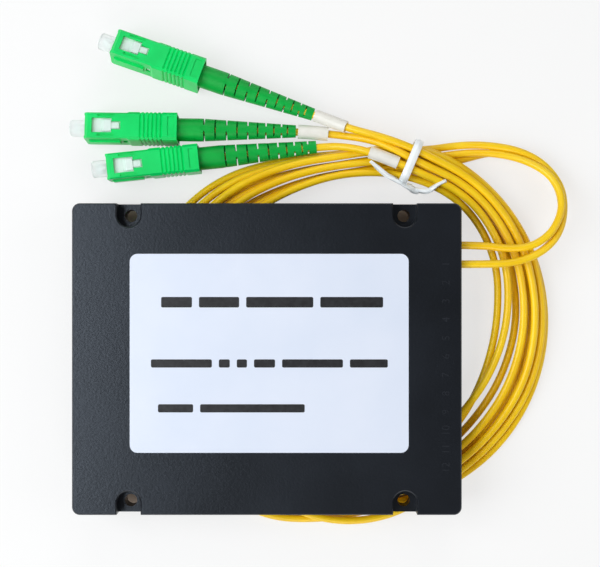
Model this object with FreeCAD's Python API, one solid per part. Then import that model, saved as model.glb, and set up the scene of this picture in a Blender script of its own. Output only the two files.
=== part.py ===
"""Fibre-optic splitter module: a flat plastic case with one input and two outputs.

Three 2 mm cables leave the right side of the case, are wound in a coil that lies
under the case, pass through a wire tie and end in three SC/APC connectors.

Millimetres. The origin is the centre of the case, +X runs along its long side
towards the cable exits, +Y across it and +Z out through the cover.
"""
import FreeCAD, Part
import math
import os

V = FreeCAD.Vector

# ---- Case -------------------------------------------------------------------
CASE_LENGTH = 100.0
CASE_WIDTH = 80.0
CASE_HEIGHT = 10.0
CORNER_RADIUS = 2.0
CAVITY_RADIUS = 0.5
SIDE_WALL = 1.8
FLOOR_THICKNESS = 1.5
COVER_THICKNESS = 1.7
COVER_BEVEL = 0.3
MOULD_CLEARANCE = 0.1

MOUNT_INSET_X = 14.5
MOUNT_INSET_Y = 3.0
SCREW_HOLE = 3.2
NOTCH_WIDTH = 6.2
NOTCH_WALL = 1.2
LUG_HEIGHT = 5.0

LIP_DEPTH = 2.0
LIP_THICKNESS = 1.2
SNAP_LENGTH = 8.0
SNAP_REACH = 0.45
SNAP_HEIGHT = 0.9
SNAP_FROM_SCREW = 13.5

LABEL_LENGTH = 71.5
LABEL_WIDTH = 51.0
LABEL_CORNER = 2.0
LABEL_THICKNESS = 0.12
LABEL_CENTRE = (0.6, 1.5)

# ---- Cable exits ------------------------------------------------------------
CABLE_DIAMETER = 2.0
BUFFER_DIAMETER = 0.9
INPUT_EXIT_INSET = 10.6
INPUT_TO_OUTPUT = 5.0
OUTPUT_PITCH = 4.74
LAST_OUTPUT_INSET = 12.0
STACK_HALF = 1.3
EXIT_CLEARANCE = 0.1
COMB_LENGTH = 10.0
COMB_RIB = 1.0
COMB_TOP = 2.4
ANCHOR_LENGTH = 6.0
ANCHOR_WALL = 0.25
ANCHOR_CLEARANCE = 0.05
LEAD_INSET = 6.0
LEAD_STRAIGHT = 6.0

# ---- Splitter and its fibres ------------------------------------------------
SPLITTER_LENGTH = 40.0
SPLITTER_SIDE = 4.0
SPLITTER_WALL = 0.3
SPLITTER_CENTRE = (-4.0, 6.0)
CHIP_LENGTH = 12.0
CHIP_SIDE = 2.4
BLOCK_LENGTH = 5.0
CHIP_ANGLE = 8.0
SEAL_LENGTH = 3.0
FIBRE_HOLE_CLEARANCE = 0.05
SPLIT_HALF = 0.6
RAIL_THICKNESS = 1.0
RAIL_HEIGHT = 3.5
POST_RADIUS = 2.5
POST_TOP = 2.9
POST_TAB = 0.8
# gap between each post and the bend of the input fibre round it
POST_GAPS = [0.8, 5.1, 0.3, 1.0]

# distance of the fibres' runs from the outer walls of the case
INPUT_LEFT_INSET = 11.0
INPUT_FRONT_INSET = 12.0
INPUT_RIGHT_INSET = 13.5
OUTPUT_LEFT_INSET = 4.5
OUTPUT_FRONT_INSET = 20.0
# run of the output fibres past the splitter's input end, before and after it
CROSSING_REACH = 14.0

# ---- Coil of cable ----------------------------------------------------------
COIL_HEIGHT = 6.0
COIL_EDGE = 1.2
COIL_CENTRE = (18.0, 5.0)
# angles in degrees, with the coil's inner and outer radius at each of them
COIL_ANGLES = [0, 22, 44, 67, 88, 112, 140, 180, 225, 265, 300, 334]
COIL_INNER = [41.5, 45.8, 48.0, 45.2, 42.2, 39.2, 38.6, 39.0, 38.0, 37.4, 36.6, 37.8]
COIL_OUTER = [57.6, 58.2, 58.0, 56.7, 48.6, 49.0, 52.2, 53.2, 51.2, 49.8, 53.2, 56.8]

# ---- Wire tie ---------------------------------------------------------------
TIE_ANGLE = 67
TIE_WIDTH = 2.4
TIE_THICKNESS = 0.8
TIE_CLEARANCE = 0.2
TIE_SIDE_CLEARANCE = 0.7
TIE_TOP = -1.8
TIE_CORNER = 1.4
TIE_WIRE = 1.4

# ---- Connector (its own frame: +X from the front face towards the cable) ----
HOUSING_LENGTH = 24.4
HOUSING_WIDTH = 7.4
HOUSING_HEIGHT = 9.0
HOUSING_CHAMFER = 0.7
HOUSING_NOSE = 1.0
HOUSING_BORE_WIDTH = 5.9
HOUSING_BORE_HEIGHT = 7.3
WAIST_STEP = 0.3
WAIST_END = 11.2
REAR_POCKET = 2.9
REAR_POCKET_WALL = 0.45
WINDOW_START = 2.1
WINDOW_LENGTH = 5.2
WINDOW_WIDTH = 3.9
LATCH_SLOT_LENGTH = 2.3
LATCH_SLOT_WIDTH = 2.2
GROOVE_DEPTH = 0.35
FLANK_START = 3.6
FLANK_END = 7.9
FLANK_OUTER = 2.95
FLANK_WIDTH = 0.6
GRIP_START = 14.85
GRIP_PITCH = 1.09
GRIP_COUNT = 6
GRIP_WIDTH = 0.7
PAD_START = 21.9
PAD_LENGTH = 1.8
PAD_WIDTH = 5.0
PAD_DEPTH = 0.25
KEY_WIDTH = 2.2
KEY_HEIGHT = 0.55
KEY_START = 0.8
KEY_END = 9.3
KEY_HOLE_START = 9.9
KEY_HOLE_LENGTH = 1.2

SLIDE_CLEARANCE = 0.075
FRAME_START = 0.6
FRAME_END = 17.2
FRAME_CHAMFER = 0.5
MOUTH_BORE = 4.9
MOUTH_DEPTH = 6.0
GUIDE_WALL = 1.0
CHAMBER_BORE = 4.75
LATCH_START = 4.3
LATCH_LENGTH = 2.8
LATCH_WIDTH = 3.0
LATCH_HEIGHT = 0.55
LATCH_RIB_WIDTH = 1.6
LATCH_RIB_HEIGHT = 0.35

FERRULE_DIAMETER = 2.5
FERRULE_TIP = -1.4
FERRULE_END = 9.1
FERRULE_CONE = 0.45
RUNNING_CLEARANCE = 0.05
FLANGE_GAP = 0.05
FLANGE_RIM = 1.5
FLANGE_DIAMETER = 4.5
FLANGE_TAIL = 4.0
FLANGE_TAIL_DIAMETER = 2.6
FLANGE_NOSE = 0.4
FIBRE_BORE = 1.0

BACKPOST_START = 14.6
BACKPOST_SHOULDER = 1.9
BACKPOST_END = 26.0
BARREL_DIAMETER = 3.6
BACKPOST_BORE = 1.4
SPRING_WIRE = 0.4
SPRING_TURNS = 4.5
CRIMP_START = 20.0
CRIMP_STEP = 26.5
CRIMP_END = 31.0
CRIMP_WALL = 0.4

BOOT_START = 19.4
BOOT_COLLAR = 5.5
BOOT_SHOULDER = 23.9
BOOT_DIAMETER = 6.1
BOOT_PLAIN = 30.4
BOOT_END = 55.6
BOOT_TIP = 3.3
BOOT_TIP_BORE = 2.5
BOOT_SLOT = 0.4
BOOT_WEB = 0.8
BOOT_FIRST_SLOT = 31.2
BOOT_SLOT_STEPS = [2.95, 2.95, 2.8, 2.8, 2.6, 2.2, 2.1, 2.0, 1.6]
BOOT_TURN_ANGLES = [90, 90, 0]

CAP_DIAMETER = 4.4
CAP_FRONT = -4.2
CAP_REAR = 5.2
CAP_WALL = 1.2
CAP_FIT = 0.03

SLEEVE_CLEARANCE = 0.15

# rear face centre of each housing in plan, heading of +X, roll about +X
HOUSING_PLACES = [(-17.5, 74.4), (-23.8, 60.2), (-18.2, 52.5)]
HEADING_ANGLES = [-19.1, -0.8, 5.8]
ROLL_ANGLES = [-12.0, -6.0, 0.0]

# ---- Cable routes, chosen points --------------------------------------------
# each lead after its straight run out of the case: upper output, input, lower output
LEADS = [
    [(63.2, 24.6, 0.9), (69.2, 26.3, 0.0), (74.0, 29.4, -1.1), (76.9, 33.6, -2.1),
     (78.05, 39.0, -3.2), (77.7, 44.2, -4.5), (75.5, 48.5, -5.8), (72.0, 52.2, -6.9),
     (66.5, 54.9, -7.4), (60.0, 56.1, -7.6), (53.8, 56.4, -7.8), (48.2, 56.0, -8.8),
     (42.8, 55.2, -9.4)],
    [(62.5, 28.4, 0.1), (68.6, 28.9, 0.3), (73.4, 31.9, 0.1), (76.0, 35.9, -0.5),
     (77.1, 40.0, -1.4), (76.7, 44.0, -2.6), (74.6, 47.8, -4.1), (71.0, 50.7, -5.5),
     (65.8, 53.0, -6.9), (59.6, 54.1, -7.95), (53.6, 54.3, -8.1), (46.8, 53.6, -9.3)],
    [(63.2, 24.6, -1.5), (69.2, 26.2, -2.2), (74.0, 29.3, -3.3), (76.9, 33.5, -4.5),
     (78.0, 39.0, -5.8), (77.6, 44.1, -7.2), (75.4, 48.3, -8.6), (71.7, 51.8, -9.6),
     (66.3, 54.2, -10.0), (60.0, 54.7, -10.0), (54.0, 53.2, -10.0), (47.6, 51.4, -9.9)],
]
TAILS = [
    [(12.9, 63.87, -5.95), (21.4, 60.2, -3.5), (30.3, 57.8, -2.2), (38.7, 54.7, -2.9),
     (44.6, 51.6, -3.7), (49.4, 48.1, -5.6)],
    [(8.9, 59.74, -6.3), (18.3, 58.9, -6.5), (27.4, 57.4, -4.5), (34.2, 54.3, -3.2),
     (39.4, 51.5, -2.9), (44.0, 48.6, -3.8), (48.0, 45.8, -5.6)],
    [(13.8, 55.75, -6.4), (20.2, 55.6, -4.9), (26.4, 54.2, -3.1), (35.0, 50.9, -3.0),
     (41.2, 47.8, -3.5), (46.2, 44.2, -5.6)],
]
# along each tail from the boot's end: start of the marker sleeve, its length and diameter
SLEEVES = [(0.6, 9.0, 3.3), (0.6, 8.0, 3.7), (14.5, 8.0, 3.3)]
BEND_SHARE = 0.45

TIE_TWIST = [(36.3, 45.0, -4.4), (38.9, 44.0, -4.6), (41.6, 43.2, -4.6)]
TIE_ENDS = [
    [(37.4, 44.6, -4.2), (34.4, 46.2, -3.4), (29.6, 48.9, -3.4), (27.0, 51.0, -3.1)],
    [(40.6, 43.4, -4.4), (43.8, 44.0, -3.0), (47.2, 46.2, -2.6)],
]

# ---- Levels that follow from the sizes --------------------------------------
CASE_TOP = CASE_HEIGHT / 2
CASE_BOTTOM = -CASE_HEIGHT / 2
FLOOR_TOP = CASE_BOTTOM + FLOOR_THICKNESS
PART_LINE = CASE_TOP - COVER_THICKNESS
LUG_TOP = CASE_BOTTOM + LUG_HEIGHT
TABLE = CASE_BOTTOM - COIL_HEIGHT
CASE_RIGHT = CASE_LENGTH / 2
CASE_BACK = CASE_WIDTH / 2
WALL_INSIDE = CASE_RIGHT - SIDE_WALL
MOUNT_X = CASE_RIGHT - MOUNT_INSET_X
MOUNT_Y = CASE_BACK - MOUNT_INSET_Y
INPUT_EXIT_Y = CASE_BACK - INPUT_EXIT_INSET
FIRST_OUTPUT_Y = INPUT_EXIT_Y - INPUT_TO_OUTPUT
OUTPUT_EXITS = 1 + int((FIRST_OUTPUT_Y + CASE_BACK - LAST_OUTPUT_INSET) / OUTPUT_PITCH)
LEAD_START = CASE_RIGHT - LEAD_INSET
LEAD_STARTS = [(FIRST_OUTPUT_Y, STACK_HALF), (INPUT_EXIT_Y, 0.0), (FIRST_OUTPUT_Y, -STACK_HALF)]
EXIT_RADIUS = CABLE_DIAMETER / 2 + EXIT_CLEARANCE
LATCH_END = LATCH_START + LATCH_LENGTH
MOUTH_END = FRAME_START + MOUTH_DEPTH
CHAMBER_START = MOUTH_END + GUIDE_WALL
FLANGE_START = CHAMBER_START + FLANGE_GAP
FLANGE_END = FLANGE_START + FLANGE_RIM


# ---- Small helpers ----------------------------------------------------------
def box(x0, x1, y0, y1, z0, z1):
    return Part.makeBox(x1 - x0, y1 - y0, z1 - z0, V(x0, y0, z0))


def rod(radius, start, end):
    axis = V(*end) - V(*start)
    return Part.makeCylinder(radius, axis.Length, V(*start), axis)


def x_rod(diameter, x0, x1):
    return rod(diameter / 2, (x0, 0, 0), (x1, 0, 0))


def prism(points, push):
    """Closed outline pushed along a vector."""
    vectors = [V(*p) for p in points]
    return Part.Face(Part.makePolygon(vectors + vectors[:1])).extrude(V(*push))


def join(shapes):
    first, rest = shapes[0], shapes[1:]
    return first.fuse(rest).removeSplitter() if rest else first


def turned(profile):
    """Solid of revolution about the X axis from (x, radius) points."""
    points = [V(x, 0, r) for x, r in profile]
    return Part.Face(Part.makePolygon(points + points[:1])).revolve(V(), V(1, 0, 0), 360)


def rounded_plate(length, width, radius, z0, z1, centre=(0, 0)):
    half_x, half_y = length / 2 - radius, width / 2 - radius
    cx, cy = centre
    arms = [
        box(cx - length / 2, cx + length / 2, cy - half_y, cy + half_y, z0, z1),
        box(cx - half_x, cx + half_x, cy - width / 2, cy + width / 2, z0, z1),
    ]
    corners = [
        rod(radius, (cx + sx * half_x, cy + sy * half_y, z0), (cx + sx * half_x, cy + sy * half_y, z1))
        for sx in (-1, 1)
        for sy in (-1, 1)
    ]
    return join(arms + corners)


def bend(before, corner, after):
    """Start, middle and end of the arc that rounds a corner of a route, and its radius."""
    run_in, run_out = corner - before, after - corner
    turn = run_in.getAngle(run_out)
    reach = BEND_SHARE * min(run_in.Length, run_out.Length)
    radius = reach / math.tan(turn / 2)
    u_in, u_out = run_in.normalize(), run_out.normalize()
    inward = (u_out - u_in).normalize()
    middle = corner + inward * radius * (1 / math.cos(turn / 2) - 1)
    return corner - u_in * reach, middle, corner + u_out * reach, radius


def rounded_path(points, diameter, name):
    """Straight runs joined by tangent arcs through a list of points."""
    pts = [V(*p) for p in points]
    edges, here, radii = [], pts[0], []
    for before, corner, after in zip(pts, pts[1:], pts[2:]):
        start, middle, end, radius = bend(before, corner, after)
        radii.append(radius)
        edges.append(Part.makeLine(here, start))
        edges.append(Part.Arc(start, middle, end).toShape())
        here = end
    edges.append(Part.makeLine(here, pts[-1]))
    print(name, "radii", " ".join("%.0f" % r for r in radii), "smallest/diameter %.1f" % (min(radii) / diameter))
    return Part.Wire(edges)


def pipe(points, diameter, name):
    """Round cable along a route, with its volume compared with section times length."""
    path = rounded_path(points, diameter, name)
    start = V(*points[0])
    section = Part.Wire(Part.makeCircle(diameter / 2, start, V(*points[1]) - start))
    solid = path.makePipeShell([section], True, True)
    expected = math.pi * diameter**2 / 4 * path.Length
    print("%s length %.1f volume ratio %.4f" % (name, path.Length, solid.Volume / expected))
    return solid


# ---- Case -------------------------------------------------------------------
def notch(side_x, side_y, grow, z0, z1):
    """U-shaped prism open to a long edge of the case, larger than the notch by grow."""
    x, y = side_x * MOUNT_X, side_y * MOUNT_Y
    half = NOTCH_WIDTH / 2 + grow
    far = side_y * CASE_WIDTH
    mouth = box(x - half, x + half, min(y, far), max(y, far), z0, z1)
    return join([mouth, rod(half, (x, y, z0), (x, y, z1))])


NOTCH_SIDES = [(sx, sy) for sx in (-1, 1) for sy in (-1, 1)]


def exits():
    """Centre height of the lowest and the highest cable in every exit slot, by its y."""
    places = [(INPUT_EXIT_Y, 0.0, 0.0), (FIRST_OUTPUT_Y, -STACK_HALF, STACK_HALF)]
    for i in range(1, OUTPUT_EXITS):
        places.append((FIRST_OUTPUT_Y - i * OUTPUT_PITCH, 0.0, 0.0))
    return places


def exit_slot(y, low):
    """U-shaped slot in the right wall, open at the parting line."""
    x0, x1 = WALL_INSIDE - 1, CASE_RIGHT + 1
    upper = box(x0, x1, y - EXIT_RADIUS, y + EXIT_RADIUS, low, PART_LINE + 1)
    return join([upper, rod(EXIT_RADIUS, (x0, y, low), (x1, y, low))])


def snap_places():
    """Centre of each snap along the long walls, with the wall's side."""
    place = MOUNT_X - SNAP_FROM_SCREW
    return [(x, side) for side in (-1, 1) for x in (-place, place)]


def snap_wedge(x, side, grow):
    """Half-round bead along the lip; grown, it is the recess in the wall."""
    y = side * (CASE_BACK - SIDE_WALL - MOULD_CLEARANCE)
    z = PART_LINE - LIP_DEPTH + SNAP_HEIGHT / 2 + 0.1
    half = SNAP_LENGTH / 2 + grow
    reach, rise = SNAP_REACH + grow, SNAP_HEIGHT / 2 + grow
    outline = [(x - half, y, z - rise), (x - half, y + side * reach, z), (x - half, y, z + rise),
               (x - half, y - side * 0.3, z)]
    return prism(outline, (2 * half, 0, 0))


def comb():
    """Ribs between the exits that keep the cables apart."""
    ys = [place[0] for place in exits()]
    gaps = [(a + b) / 2 for a, b in zip(ys, ys[1:])]
    ends = [ys[0] + OUTPUT_PITCH / 2, ys[-1] - OUTPUT_PITCH / 2]
    x0 = WALL_INSIDE - COMB_LENGTH
    return [box(x0, WALL_INSIDE + 0.1, y - COMB_RIB / 2, y + COMB_RIB / 2, FLOOR_TOP - 0.1, COMB_TOP)
            for y in gaps + ends]


def fibre_post(x, y, heading):
    """Round post with a finger that keeps the fibres down."""
    post = rod(POST_RADIUS, (x, y, FLOOR_TOP - 0.1), (x, y, POST_TOP))
    finger = box(0, POST_RADIUS * 1.9, -1, 1, POST_TOP - POST_TAB, POST_TOP)
    finger.rotate(V(), V(0, 0, 1), heading)
    return join([post, finger.translated(V(x, y, 0))])


def input_loop():
    """Plan of the input fibre, from its cable round the case to the splitter."""
    left, right = INPUT_LEFT_INSET - CASE_RIGHT, CASE_RIGHT - INPUT_RIGHT_INSET
    front, cy = INPUT_FRONT_INSET - CASE_BACK, SPLITTER_CENTRE[1]
    return [(LEAD_START, INPUT_EXIT_Y), (left, INPUT_EXIT_Y), (left, front), (right, front), (right, cy),
            (splitter_x(CHIP_LENGTH / 2 + BLOCK_LENGTH), cy)]


def fibre_posts():
    """A post inside each bend of the input fibre's loop, its finger turned to the fibre."""
    loop = [V(x, y, 0) for x, y in input_loop()]
    posts = []
    for before, corner, after, gap in zip(loop, loop[1:], loop[2:], POST_GAPS):
        middle = bend(before, corner, after)[1]
        outward = (corner - middle).normalize()
        place = middle - outward * (BUFFER_DIAMETER / 2 + gap + POST_RADIUS)
        posts.append(fibre_post(place.x, place.y, math.degrees(math.atan2(outward.y, outward.x))))
    return posts


def splitter_rails():
    cx, cy = SPLITTER_CENTRE
    inner = SPLITTER_SIDE / 2 + MOULD_CLEARANCE
    half = SPLITTER_LENGTH * 0.4
    outer = inner + RAIL_THICKNESS
    return [box(cx - half, cx + half, cy + a, cy + b, FLOOR_TOP - 0.1, FLOOR_TOP + RAIL_HEIGHT)
            for a, b in ((-outer, -inner), (inner, outer))]


def case_base():
    shell = rounded_plate(CASE_LENGTH, CASE_WIDTH, CORNER_RADIUS, CASE_BOTTOM, PART_LINE)
    cavity = rounded_plate(CASE_LENGTH - 2 * SIDE_WALL, CASE_WIDTH - 2 * SIDE_WALL,
                           CAVITY_RADIUS, FLOOR_TOP, PART_LINE + 1)
    cavity = cavity.cut([notch(sx, sy, NOTCH_WALL, CASE_BOTTOM, CASE_TOP) for sx, sy in NOTCH_SIDES])
    cuts = [cavity]
    for sx, sy in NOTCH_SIDES:
        x, y = sx * MOUNT_X, sy * MOUNT_Y
        cuts.append(notch(sx, sy, 0, LUG_TOP, CASE_TOP))
        cuts.append(rod(SCREW_HOLE / 2, (x, y, CASE_BOTTOM - 1), (x, y, LUG_TOP + 1)))
    cuts += [exit_slot(y, low) for y, low, high in exits()]
    cuts += [snap_wedge(x, side, MOULD_CLEARANCE) for x, side in snap_places()]
    ribs = comb() + splitter_rails() + fibre_posts()
    return join([shell.cut(cuts)] + ribs)


def cover_lip():
    """Ring that plugs into the base, left out along the row of exits."""
    outer_x = CASE_LENGTH - 2 * (SIDE_WALL + MOULD_CLEARANCE)
    outer_y = CASE_WIDTH - 2 * (SIDE_WALL + MOULD_CLEARANCE)
    low, high = PART_LINE - LIP_DEPTH, PART_LINE
    ring = rounded_plate(outer_x, outer_y, CAVITY_RADIUS, low, high + 0.1)
    inside_x, inside_y = outer_x / 2 - LIP_THICKNESS, outer_y / 2 - LIP_THICKNESS
    gaps = [box(-inside_x, inside_x, -inside_y, inside_y, low - 1, high)]
    gaps.append(box(inside_x - COMB_LENGTH, CASE_LENGTH, -outer_y / 2 + LIP_THICKNESS,
                    outer_y / 2 - LIP_THICKNESS, low - 1, high))
    gaps += [notch(sx, sy, NOTCH_WALL + MOULD_CLEARANCE, low - 1, high + 1) for sx, sy in NOTCH_SIDES]
    return ring.cut(gaps)


def exit_tongue(y, high):
    """Tongue of the cover that closes an exit slot over its cable."""
    half = EXIT_RADIUS - MOULD_CLEARANCE
    x0, x1 = WALL_INSIDE + MOULD_CLEARANCE, CASE_RIGHT - MOULD_CLEARANCE
    tongue = box(x0, x1, y - half, y + half, high, PART_LINE + 0.1)
    return tongue.cut(rod(EXIT_RADIUS, (x0 - 1, y, high), (x1 + 1, y, high)))


def case_cover():
    plate = rounded_plate(CASE_LENGTH, CASE_WIDTH, CORNER_RADIUS, PART_LINE, CASE_TOP)
    plate = plate.cut([notch(sx, sy, 0, PART_LINE - 1, CASE_TOP + 1) for sx, sy in NOTCH_SIDES])
    rim = [e for e in plate.Edges if e.BoundBox.ZMin > CASE_TOP - 0.01]
    plate = plate.makeChamfer(COVER_BEVEL, rim)
    beads = [snap_wedge(x, side, 0) for x, side in snap_places()]
    tongues = [exit_tongue(y, high) for y, low, high in exits()]
    return join([plate, cover_lip()] + beads + tongues)


def label():
    return rounded_plate(LABEL_LENGTH, LABEL_WIDTH, LABEL_CORNER, CASE_TOP,
                         CASE_TOP + LABEL_THICKNESS, LABEL_CENTRE)


# ---- Splitter and fibres ----------------------------------------------------
def splitter_x(offset):
    return SPLITTER_CENTRE[0] + offset


def square_bar(x0, x1, side):
    cy = SPLITTER_CENTRE[1]
    return box(splitter_x(x0), splitter_x(x1), cy - side / 2, cy + side / 2, -side / 2, side / 2)


def splitter_housing():
    half = SPLITTER_LENGTH / 2
    outer = square_bar(-half, half, SPLITTER_SIDE)
    return outer.cut(square_bar(-half - 1, half + 1, SPLITTER_SIDE - 2 * SPLITTER_WALL))


def chip_block(x0, x1, lean0, lean1):
    """Glass block whose end faces may lean by the angle that keeps light from returning."""
    cx, cy = SPLITTER_CENTRE
    half = CHIP_SIDE / 2
    skew = math.tan(math.radians(CHIP_ANGLE)) * half
    corners = [(x0 - lean0 * skew, -half), (x1 - lean1 * skew, -half),
               (x1 + lean1 * skew, half), (x0 + lean0 * skew, half)]
    return prism([(cx + x, cy - half, z) for x, z in corners], (0, CHIP_SIDE, 0))


def end_seal(side, holes):
    """Soft plug in one end of the metal tube, with a hole for each fibre."""
    half = SPLITTER_LENGTH / 2
    x0, x1 = sorted([side * half, side * (half - SEAL_LENGTH)])
    plug = square_bar(x0, x1, SPLITTER_SIDE - 2 * SPLITTER_WALL)
    radius = BUFFER_DIAMETER / 2 + FIBRE_HOLE_CLEARANCE
    cy = SPLITTER_CENTRE[1]
    return plug.cut([rod(radius, (splitter_x(x0 - 1), cy, z), (splitter_x(x1 + 1), cy, z)) for z in holes])


def adhesive_pad():
    cy = SPLITTER_CENTRE[1]
    half = SPLITTER_LENGTH * 0.375
    width = SPLITTER_SIDE - 2 * MOULD_CLEARANCE
    return box(splitter_x(-half), splitter_x(half), cy - width / 2, cy + width / 2,
               FLOOR_TOP, -SPLITTER_SIDE / 2)


def splitter_pieces():
    chip = CHIP_LENGTH / 2
    block = chip + BLOCK_LENGTH
    return {
        "splitter_housing": splitter_housing(),
        "splitter_chip": chip_block(-chip, chip, 1, 1),
        "input_fibre_block": chip_block(chip, block, 1, 0),
        "output_fibre_block": chip_block(-block, -chip, 0, 1),
        "input_end_seal": end_seal(1, [0.0]),
        "output_end_seal": end_seal(-1, [-SPLIT_HALF, SPLIT_HALF]),
        "adhesive_pad": adhesive_pad(),
    }


def fibre_pieces():
    """Buffered fibres from the cable anchors to the two ends of the splitter."""
    block = CHIP_LENGTH / 2 + BLOCK_LENGTH
    cy = SPLITTER_CENTRE[1]
    pieces = {"fibre_input": pipe([(x, y, 0.0) for x, y in input_loop()], BUFFER_DIAMETER, "fibre_input")}
    mouth = SPLITTER_LENGTH / 2 + 1
    left, front = OUTPUT_LEFT_INSET - CASE_RIGHT, OUTPUT_FRONT_INSET - CASE_BACK
    crossing = splitter_x(SPLITTER_LENGTH / 2)
    loop = [(left, cy), (left, front), (crossing - CROSSING_REACH, front),
            (crossing + CROSSING_REACH, FIRST_OUTPUT_Y), (LEAD_START, FIRST_OUTPUT_Y)]
    for number, side in ((1, 1), (2, -1)):
        route = [(splitter_x(-block), cy, side * SPLIT_HALF), (splitter_x(-mouth), cy, side * SPLIT_HALF)]
        route += [(x, y, side * STACK_HALF) for x, y in loop]
        name = "fibre_output_%d" % number
        pieces[name] = pipe(route, BUFFER_DIAMETER, name)
    return pieces


# ---- Cables -----------------------------------------------------------------
def lead_route(number):
    """Cable from its anchor straight out of the case and on through the chosen points."""
    y, z = LEAD_STARTS[number]
    return [(LEAD_START, y, z), (CASE_RIGHT + LEAD_STRAIGHT, y, z)] + LEADS[number]


def cable_anchor(route):
    """Crimped sleeve at the cable's end inside the comb."""
    x, y, z = route[0]
    bore = CABLE_DIAMETER / 2 + ANCHOR_CLEARANCE
    ends = (x - ANCHOR_LENGTH / 3, y, z), (x + ANCHOR_LENGTH * 2 / 3, y, z)
    return rod(bore + ANCHOR_WALL, *ends).cut(rod(bore, *ends))


def ring_curve(radii):
    """Closed smooth curve through the coil's inner or outer radii."""
    cx, cy = COIL_CENTRE
    points = []
    for degrees, radius in zip(COIL_ANGLES, radii):
        angle = math.radians(degrees)
        points.append(V(cx + radius * math.cos(angle), cy + radius * math.sin(angle), TABLE))
    curve = Part.BSplineCurve()
    curve.interpolate(Points=points, PeriodicFlag=True)
    return Part.Wire(curve.toShape())


def tie_frame(shape):
    """Turn a shape drawn with +X outwards from the coil's centre to the tie's place."""
    shape.rotate(V(), V(0, 0, 1), TIE_ANGLE)
    return shape.translated(V(COIL_CENTRE[0], COIL_CENTRE[1], 0))


def tie_radii():
    row = COIL_ANGLES.index(TIE_ANGLE)
    return COIL_INNER[row], COIL_OUTER[row]


def cable_coil():
    """Outer shape of the coiled turns, with a groove where the tie passes under them."""
    rise = V(0, 0, COIL_HEIGHT)
    coil = Part.Face(ring_curve(COIL_OUTER)).extrude(rise).cut(Part.Face(ring_curve(COIL_INNER)).extrude(rise))
    rims = [e for e in coil.Edges if e.BoundBox.ZLength < 0.01]
    coil = coil.makeChamfer(COIL_EDGE, rims)
    half = TIE_WIDTH / 2 + TIE_CLEARANCE
    inner, outer = tie_radii()
    groove = box(inner - TIE_WIDTH, outer + TIE_WIDTH, -half, half, TABLE - 1,
                 TABLE + TIE_THICKNESS + TIE_CLEARANCE)
    return coil.cut(tie_frame(groove))


def tie_loop():
    """Flat band round the bundle, drawn in the plane across the cables."""
    inner, outer = tie_radii()
    inner, outer = inner - TIE_SIDE_CLEARANCE, outer + TIE_SIDE_CLEARANCE
    low, high = TABLE + TIE_THICKNESS, TIE_TOP

    def rounded(grow, radius):
        width, height = outer - inner + 2 * grow, high - low + 2 * grow
        plate = rounded_plate(width, height, radius, -TIE_WIDTH / 2, TIE_WIDTH / 2)
        plate.rotate(V(), V(1, 0, 0), 90)
        return plate.translated(V((inner + outer) / 2, 0, (low + high) / 2))

    band = rounded(TIE_THICKNESS, TIE_CORNER + TIE_THICKNESS).cut(rounded(0, TIE_CORNER))
    return tie_frame(band)


def wire_tie():
    ends = [pipe(points, TIE_WIRE, "tie end") for points in TIE_ENDS]
    return join([tie_loop(), pipe(TIE_TWIST, TIE_WIRE * 1.4, "tie twist")] + ends)


# ---- Connector --------------------------------------------------------------
def both_faces(shape):
    """A shape above the axis and its copy below it."""
    return [shape, shape.rotated(V(), V(1, 0, 0), 180)]


def bar(x0, x1, width, height, chamfer):
    """Rectangular bar along X with chamfered long edges."""
    w, h, c = width / 2, height / 2, chamfer
    outline = [(w, h - c), (w - c, h), (c - w, h), (-w, h - c), (-w, c - h), (c - w, -h), (w - c, -h), (w, c - h)]
    return prism([(x0, y, z) for y, z in outline], (x1 - x0, 0, 0))


def housing_body():
    """Outer form: chamfered bar, nose chamfers and a waist on the key sides."""
    w, h = HOUSING_WIDTH / 2, HOUSING_HEIGHT / 2
    body = bar(0, HOUSING_LENGTH, HOUSING_WIDTH, HOUSING_HEIGHT, HOUSING_CHAMFER)
    side = [(0, h - HOUSING_NOSE), (HOUSING_NOSE, h), (HOUSING_LENGTH, h), (HOUSING_LENGTH, -h),
            (HOUSING_NOSE, -h), (0, HOUSING_NOSE - h)]
    body = body.common(prism([(x, -w, z) for x, z in side], (0, 2 * w, 0)))
    narrow, slope = w - WAIST_STEP, WAIST_END + 2 * WAIST_STEP
    plan = [(0, narrow), (WAIST_END, narrow), (slope, w), (HOUSING_LENGTH, w),
            (HOUSING_LENGTH, -w), (slope, -w), (WAIST_END, -narrow), (0, -narrow)]
    return body.common(prism([(x, y, -h) for x, y in plan], (0, 0, 2 * h)))


def grip_grooves():
    """V grooves across the four sides of the grip."""
    cuts = []
    for height, across in ((HOUSING_HEIGHT / 2, HOUSING_WIDTH), (HOUSING_WIDTH / 2, HOUSING_HEIGHT)):
        for i in range(GRIP_COUNT):
            x = GRIP_START + i * GRIP_PITCH
            vee = prism([(x - GRIP_WIDTH / 2, -across, height + 0.01), (x + GRIP_WIDTH / 2, -across, height + 0.01),
                         (x, -across, height - GROOVE_DEPTH)], (0, 2 * across, 0))
            quarter = 0 if height == HOUSING_HEIGHT / 2 else 90
            cuts += both_faces(vee.rotated(V(), V(1, 0, 0), quarter))
    return cuts


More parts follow.
